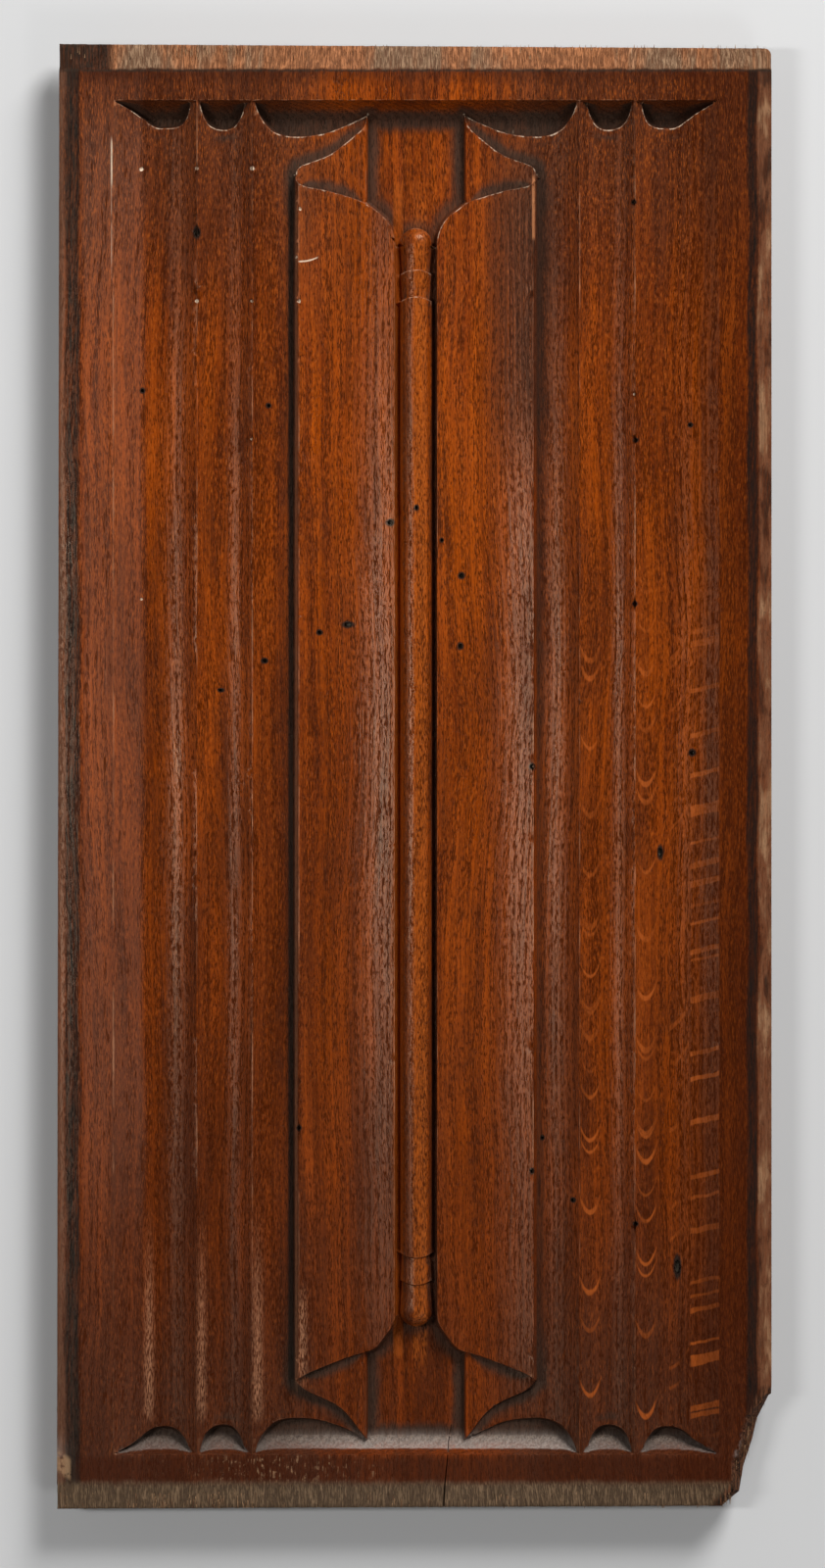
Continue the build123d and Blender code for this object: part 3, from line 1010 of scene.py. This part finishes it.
def raySheets(oak):
    # rays are thin slanting sheets, so they show as bars on the flats and as bows in the flutes
    x, y = oak.x, oak.y
    along = oak.reading("wobbleAlong")
    barSlope = oak.plus(y, oak.times(x, -0.24), along, oak.times(oak.fade(x, 104, 118), -30.0))
    onBars = oak.fade(x, *oakSet["barFrom"])
    bowCentre = oak.fade(x, *oakSet["bowSplit"], *oakSet["bowCentres"])
    fromBow = oak.plus(x, oak.times(bowCentre, -1.0))
    curve = oak.plus(oak.times(fromBow, fromBow, -0.42), oak.times(fromBow, -0.12))
    shifted = oak.fade(x, *oakSet["bowSplit"], 0.0, oakSet["bowShift"])
    bowSlope = oak.plus(y, curve, oak.times(along, 0.6), shifted)
    onBows = oak.within(x, oakSet["bowSpan"], 0.1)
    elsewhere = oak.plus(1.0, oak.times(onBars, -1.0), oak.times(onBows, -1.0))
    slope = oak.plus(oak.times(oak.reading("raySlope"), elsewhere), oak.times(barSlope, onBars, 1.5),
                     oak.times(bowSlope, onBows))
    sheets = []
    for spacing, shift in oakSet["raySpacings"]:
        count = oak.times(slope, 1 / spacing)
        cell = oak.sum("FLOOR", count)
        chance = whiteOf(oak, cell, shift)
        spot = whiteOf(oak, cell, shift + 0.37)
        middle = oak.plus(oak.times(spot, 0.6), 0.2)
        away = oak.times(oak.size(oak.plus(oak.sum("FRACT", count), oak.times(middle, -1.0))), spacing)
        thick = oak.times(oak.plus(oak.times(chance, 1.1), -0.1), oak.plus(1.0, oak.times(onBars, spot)))
        inSheet = oak.fade(oak.plus(away, oak.times(thick, -1.0)), 0.45, -0.35)
        sheets.append(oak.times(inSheet, oak.fade(chance, 0.42, 0.5)))
    patches = oak.fade(oak.reading("patches"), 0.42, 0.56)
    bars = oak.times(oak.within(x, oakSet["barSpan"], 0.2), oak.plus(oak.times(patches, 0.35), 0.4))
    bows = oak.times(oak.fade(oak.size(fromBow), 4.4, 1.8), oak.plus(oak.times(patches, 0.4), 0.3))
    faint = oak.times(oak.fade(x, 45, 60), elsewhere, patches, 0.32)
    upAndDown = oak.times(oak.fade(y, *oakSet["rayTop"]), oak.fade(y, *oakSet["rayFoot"]))
    oak.lay(oak.times(oak.most(*sheets), upAndDown, oak.most(bars, bows, faint)), "ray")


def grimeAndShadeInHollows(oak):
    x, y = oak.x, oak.y
    oak.hollow, oak.bowl = oak.reading("hollow"), oak.reading("bowl")
    # grime and painted shade: darker near grooves, in low places and in deep hollows, more so toward the ends
    lower = oak.fade(oak.plus(oak.hollow, oak.times(oak.bowl, 0.4)), -0.1, 0.5)
    ends = oak.fade(oak.size(y), 176, 205)
    grooved = oak.plus(oak.reading("groove"), oak.times(oak.speckle, -2.4), oak.times(ends, -1.2))
    close = oak.times(oak.fade(grooved, 3.0, -0.8), lower, oak.plus(oak.times(ends, 0.3), 0.55))
    deep = oak.fade(oak.plus(oak.hollow, oak.times(oak.bowl, 0.5), oak.times(oak.speckle, 0.9)), 0.75, 2.6)
    sunk = oak.times(deep, oak.plus(oak.times(ends, 0.1), 0.35))
    # painted light: the groove wall left of the bead is kept free of this and brightened
    litFlank = oak.times(oak.within(x, oakSet["litBeadFlank"], 0.5), oak.within(y, oakSet["litFlankLength"], 1.5))
    oak.grimed = oak.times(oak.plus(1.0, oak.times(litFlank, -1.0)), oak.most(close, sunk))
    oak.lay(oak.grimed, "grime")
    # painted shade along the quirk beside the left-hand fold
    quirkShade = oak.times(oak.within(x, oakSet["quirkAcross"], 0.35), oak.within(y, oakSet["quirkAlong"], 4))
    oak.lay(oak.times(quirkShade, 0.85), "edgeStainAndShade")
    # painted light on the groove wall left of the bead
    oak.lay(oak.times(litFlank, 0.3), "fleckAndLight")
    # painted highlight along the rounded foot of the left-hand fold
    foot = oak.times(oak.within(x, oakSet["footAcross"], 0.2), oak.within(y, oakSet["footAlong"], 5))
    oak.lay(oak.times(foot, oak.fade(oak.dash, 0.62, 0.42, 0.4, 1.0), 0.5), "bareArrisAndHighlight")


def paintedMarginSheen(oak):
    # a painted sheen on the left margin, a pale grey veil, thinner low down
    across = oak.within(oak.plus(oak.x, oak.reading("wobble")), oakSet["marginSheenSpan"], 1.6)
    strength = oak.plus(oak.times(oak.fade(oak.y, -190, -90), 0.12), 0.04)
    along = oak.fade(oak.y, 232, 205, 0.35, 1.0)
    oak.lay(oak.times(across, along, strength, oak.plus(oak.times(oak.longPores, -0.8), 1.0)), "marginSheen")


def arrisWearAndHighlights(oak):
    x, y = oak.x, oak.y
    oak.rub = oak.clouds(oak.place, (0.5, 0.05, 0.5), 3.0, 0.6, shift=19)
    oak.bits = oak.clouds(oak.place, (0.45, 0.45, 0.45), 3.0, 0.6, shift=23)
    # pale bare wood and painted highlight along the arrises, stronger higher up and faint on the right margin
    edge = oak.fade(oak.plus(oak.reading("arris"), oak.times(oak.rub, -0.5)), 0.16, -0.14)
    edge = oak.times(edge, oak.fade(oak.rub, 0.42, 0.66), oak.fade(y, -190, -120, 0.12, 0.5))
    oak.lay(oak.times(edge, oak.fade(x, 96, 99, 1.0, 0.2)), "bareArrisAndHighlight")
    # the lips of the curved ends near the top: chipped pale wood and painted highlight
    lip = oak.fade(oak.plus(oak.reading("lip"), oak.times(oak.bits, -1.0)), 0.0, -0.4)
    lip = oak.times(lip, oak.fade(oak.bits, 0.4, 0.6), oak.fade(y, *oakSet["lipTop"]))
    oak.lay(oak.times(lip, oak.fade(oak.size(x), 6, 9, 0.3, 0.8)), "freshChipAndHighlight")
    oak.lay(oak.fade(oak.plus(oak.reading("nick"), oak.times(oak.rub, 0.6)), 0.6, 0.85), "freshChipAndHighlight")
    (longX, longY), (thinX, thinY) = oakSet["longScratch"], oakSet["thinScratch"]
    longScratch = oak.times(oak.within(x, longX, 0.2), oak.within(y, longY, 2.0))
    thinScratch = oak.times(oak.within(x, thinX, 0.15), oak.within(y, thinY, 2.0),
                            oak.fade(oak.rub, 0.42, 0.6), 0.6)
    oak.lay(oak.times(oak.most(longScratch, thinScratch), 0.8), "freshChipAndHighlight")


def paintedSheenStreaks(oak):
    # painted sheen in speckled streaks low down on the left-hand folds
    footX, footY = oakSet["sheenFoot"]
    streaks = [oak.times(oak.within(oak.x, footX, 1.5), oak.within(oak.y, footY, 7))]
    for span in oakSet["sheenLines"]:
        streaks.append(oak.times(oak.within(oak.x, span, 1.5), oak.fade(oak.y, -140, -195),
                                 oak.fade(oak.y, -219, -213)))
    oak.lay(oak.times(oak.most(*streaks), oak.fade(oak.dash, 0.58, 0.4, 0.04, 0.55)), "bareArrisAndHighlight")


def wornHoles(oak):
    # a stained rim, and old filling that shows more in the holes on the right and high up
    hole = oak.reading("hole")
    oak.lay(oak.times(oak.fade(oak.plus(hole, oak.times(oak.rub, -1.2)), 1.7, 0.7), 0.95), "edgeStainAndShade")
    filled = oak.times(oak.fade(hole, 0.85, 0.5), oak.fade(oak.plus(oak.x, oak.y), -60, 60, 0.45, 0.85))
    oak.lay(filled, "holeFill")


def oldMarks(oak):
    # stains in streaks beside the right-hand fold, painted light on its wall where it faces the key lamp, and a
    # curved pale scratch
    x, y = oak.x, oak.y
    streaks = oak.fade(oak.plus(oak.times(oak.line, 0.6), oak.times(oak.streak, 0.4)), 0.4, 0.52)
    oak.stained = oak.times(oak.within(x, oakSet["stainAcross"], 6), oak.within(y, oakSet["stainAlong"], 22),
                            streaks)
    oak.lay(oak.times(oak.stained, 0.75), "grime")
    # painted light on the wall of the right-hand fold
    litWall = oak.times(oak.within(x, oakSet["litWallAcross"], 0.25), oak.within(y, oakSet["litWallAlong"], 1.0))
    oak.lay(oak.times(litWall, 0.8), "topStrip")
    fromEnd = oak.plus(x, -oakSet["curvedScratch"][0])
    away = oak.size(oak.plus(y, -oakSet["curvedFoot"], oak.times(fromEnd, fromEnd, -0.04)))
    scratch = oak.times(oak.fade(oak.plus(away, oak.times(oak.bits, -0.3)), 0.25, -0.05),
                        oak.within(x, oakSet["curvedScratch"], 0.6))
    oak.lay(oak.times(scratch, 0.85), "freshChipAndHighlight")


def borderBands(oak):
    # the border's dull, stained and worn bands, with edges that wobble as old wear does
    oak.acrossWorn = oak.plus(oak.x, oak.reading("wobble"))
    oak.alongWorn = oak.plus(oak.y, oak.reading("wobbleAlong"))
    across, along = oak.acrossWorn, oak.alongWorn
    dull = oak.most(oak.times(oak.fade(along, *oakSet["upperBand"]), 0.75),
                    oak.times(oak.fade(along, *oakSet["lowerBand"]), 0.9),
                    oak.times(oak.fade(across, *oakSet["sideBand"]), 0.62))
    oak.lay(oak.times(dull, oak.plus(oak.times(oak.speckle, 0.7), 0.45)), "glaze")
    oak.fibre = oak.fade(oak.clouds(oak.grain, (2.2, 0.1, 2.2), 3.0, 0.65, shift=41), 0.38, 0.62)
    streaky = oak.plus(oak.times(oak.fibre, 0.45), 0.55)
    stain = oak.most(oak.within(across, oakSet["leftStain"], 0.8),
                     oak.times(oak.within(across, oakSet["rightStain"], 0.6), 0.95))
    oak.lay(oak.times(stain, streaky), "edgeStainAndShade")
    oak.lay(oak.times(oak.fade(across, *oakSet["leftEdge"]), streaky, 0.85), "edgeBrown")
    worn = oak.clouds(oak.place, (0.2, 0.045, 0.2), 3.0, 0.6, shift=61)
    bandTone = oak.mix(oak.fade(worn, 0.47, 0.36, 0.0, 0.75), oakSet["rightBand"], oakSet["edgeStainAndShade"])
    bandTone = oak.mix(oak.fade(worn, 0.5, 0.66, 0.0, 0.45), bandTone, oakSet["splinter"])
    oak.lay(oak.times(oak.fade(across, *oakSet["rightEdge"]), streaky, 0.95), bandTone)
    alongScribe = oak.plus(oak.y, oak.times(oak.reading("wobbleAlong"), 0.25))
    scribed = oak.times(oak.within(alongScribe, oakSet["scribedSpan"], 0.25),
                        oak.fade(oak.bits, 0.3, 0.6, 0.35, 0.9))
    oak.lay(scribed, "grime")


def roughEnds(oak):
    # the bare strips at both ends, pale flecks over the lower one, and a painted sheen in the lower cove
    x, y = oak.x, oak.y
    oak.topStrip = oak.fade(oak.alongWorn, *oakSet["topFrom"])
    varied = oak.fade(oak.plus(oak.blotch, oak.times(oak.streak, 0.5)), 0.66, 0.84)
    topTone = oak.mix(varied, oakSet["topGrey"], oakSet["topStrip"])
    topTone = oak.mix(oak.fade(oak.acrossWorn, *oakSet["topCorner"]), topTone, oakSet["edgeStainAndShade"])
    topTone = oak.mix(oak.plus(oak.times(oak.fibre, 0.75), 0.2), oakSet["topDeep"], topTone)
    oak.lay(oak.times(oak.topStrip, 0.92), topTone)
    nearPlace = oak.plus(oak.size(oak.plus(x, -oakSet["palePlace"])), oak.times(oak.rub, 40))
    pale = oak.times(oak.within(oak.alongWorn, oakSet["paleSpan"], 1.0), oak.fade(oak.fibre, 0.7, 1.0),
                     oak.fade(oak.bits, 0.5, 0.62), oak.fade(nearPlace, 70, 25))
    oak.lay(oak.times(pale, 0.4), "splinter")
    # painted sheen: a pale grey band in the lower cove
    inCove = oak.times(oak.fade(y, *oakSet["coveSheenTop"]), oak.fade(y, *oakSet["coveSheenFoot"]),
                       oak.fade(oak.plus(oak.hollow, oak.times(oak.bowl, 0.3)), -0.1, 0.6))
    byPlace = oak.fade(oak.size(oak.plus(x, -oakSet["coveSheenPlace"])), 62, 28, 0.22, 0.55)
    oak.lay(oak.times(inCove, oak.fade(oak.line, 0.62, 0.38, 0.6, 1.0), byPlace), "coveSheen")
    oak.bottomStrip = oak.fade(oak.alongWorn, *oakSet["bottomFrom"])
    bottomTone = oak.mix(oak.plus(oak.times(oak.fibre, 0.6), 0.22), oakSet["grime"], oakSet["bottomStrip"])
    oak.lay(oak.times(oak.bottomStrip, 0.92), bottomTone)


def brokenCorner(oak):
    # the tan chip at the lower left, the torn corner at the lower right and the splinters
    chip = oak.times(oak.fade(oak.x, *oakSet["chipAcross"]),
                     oak.within(oak.plus(oak.y, oak.times(oak.x, 0.6)), oakSet["chipSlant"], 1.2),
                     oak.fade(oak.bits, 0.3, 0.5))
    oak.lay(oak.times(chip, 0.5), "splinter")
    oak.torn = oak.fade(oak.plus(oak.reading("broken"), oak.times(oak.fibre, -1.2)), 4.2, 2.4)
    oak.lay(oak.torn, oak.mix(oak.fibre, oakSet["edgeStainAndShade"], oakSet["rightBand"]))
    sliverTone = oak.fade(oak.clouds(oak.grain, (2.6, 0.03, 2.6), 2.0, shift=57), 0.35, 0.62)
    sliverColor = oak.mix(sliverTone, oakSet["rightBand"], oakSet["splinter"])
    oak.lay(oak.times(oak.reading("splinter"), 0.85), sliverColor)


def sawnBack(oak):
    # the back and the edges below the face were never finished
    oak.sawn = oak.fade(oak.z, *oakSet["sawnFrom"])
    sawLine = oak.fade(oak.clouds(oak.place, (0.02, 1.1, 0.02), 3.0, 0.6, shift=43), 0.35, 0.65)
    share = oak.plus(oak.times(oak.tone, 0.5), oak.times(sawLine, 0.5))
    backTone = oak.mix(share, oakSet["sawnDark"], oakSet["sawnBack"])
    oak.lay(oak.sawn, oak.mix(oak.times(oak.pores, 0.7), backTone, oakSet["grime"]))


def waxCoat(oak):
    # the shine is lower on the outer folds, the right margin, the stains and in every pore
    links, shader = oak.tree.links, oak.shader
    links.new(oak.color, shader.inputs["Base Color"])
    shine = oak.times(oak.plus(0.38, oak.times(oak.pores, -0.34)), oak.fade(oak.size(oak.x), 41, 44, 1.0, 0.72),
                      oak.fade(oak.x, 84, 91, 1.0, 0.3), oak.plus(1.0, oak.times(oak.stained, -0.75)))
    links.new(shine, shader.inputs["Specular IOR Level"])
    shader.inputs["Specular Tint"].default_value = oakSet["specularTint"]
    raw = oak.most(oak.topStrip, oak.bottomStrip, oak.torn, oak.sawn)
    roughness = oak.plus(oakSet["roughness"], oak.times(oak.reading("gloss"), 0.24), oak.times(oak.grimed, 0.12),
                         oak.times(raw, 0.4), oak.times(oak.pores, 0.2))
    links.new(roughness, shader.inputs["Roughness"])
    relief = oak.plus(oak.times(oak.pores, oakSet["poreRelief"]), oak.times(oak.line, oakSet["lineRelief"]),
                      oak.times(raw, oak.fibre, oakSet["rawRelief"]),
                      oak.times(oak.speckle, oakSet["speckleRelief"]))
    bump = addNode(oak.tree, "ShaderNodeBump", {"Strength": 1.0, "Distance": 0.001, "Height": relief})
    links.new(bump.outputs[0], shader.inputs["Normal"])


def agedOak():
    # each layer lies over those before it and keeps what later ones read
    oak = Painter("aged_oak_waxed")
    for layer in (bareWood, darkening, poresAndFlecks, raySheets, grimeAndShadeInHollows, paintedMarginSheen, arrisWearAndHighlights,
                  paintedSheenStreaks, wornHoles, oldMarks, borderBands, roughEnds, brokenCorner, sawnBack, waxCoat):
        layer(oak)
    return oak.material


print("mixing the oak")
oakMaterial = agedOak()
print("weathering the surface")
grown(carvedBoard, weatherTree(oakMaterial), weatherSet)
print("faces", len(carvedBoard.data.polygons), "attributes", [a.name for a in carvedBoard.data.attributes])
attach(carvedBoard, "root")
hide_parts("oak_panel")
